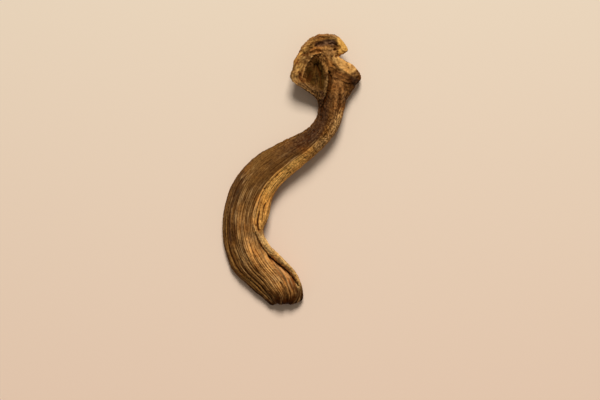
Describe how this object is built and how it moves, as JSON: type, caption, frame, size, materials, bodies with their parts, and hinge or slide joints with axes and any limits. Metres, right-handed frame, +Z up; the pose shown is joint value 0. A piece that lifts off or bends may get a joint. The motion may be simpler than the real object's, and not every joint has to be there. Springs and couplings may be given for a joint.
{
  "type": "dried porcini mushroom slice",
  "caption": "Dried lengthwise slice of a porcini mushroom: a curled cap half on a long, furrowed, S-curved stem, lying flat with its cut face up.",
  "frame": {"origin": "under the middle of the slice's box, on the surface that it rests on", "axes": "+Y from the torn stem end towards the cap's crown, +X towards the side of the cap's right flap, +Z up out of the cut face"},
  "size_m": [0.0414, 0.0808, 0.0084],
  "materials": {
    "dried_flesh": "matt, dry and wrinkled, golden tan on the band along the inner edge and dark brown in the furrows"
  },
  "bodies": {
    "root": {"porcini_slice": "dried_flesh"}
  },
  "joints": []
}
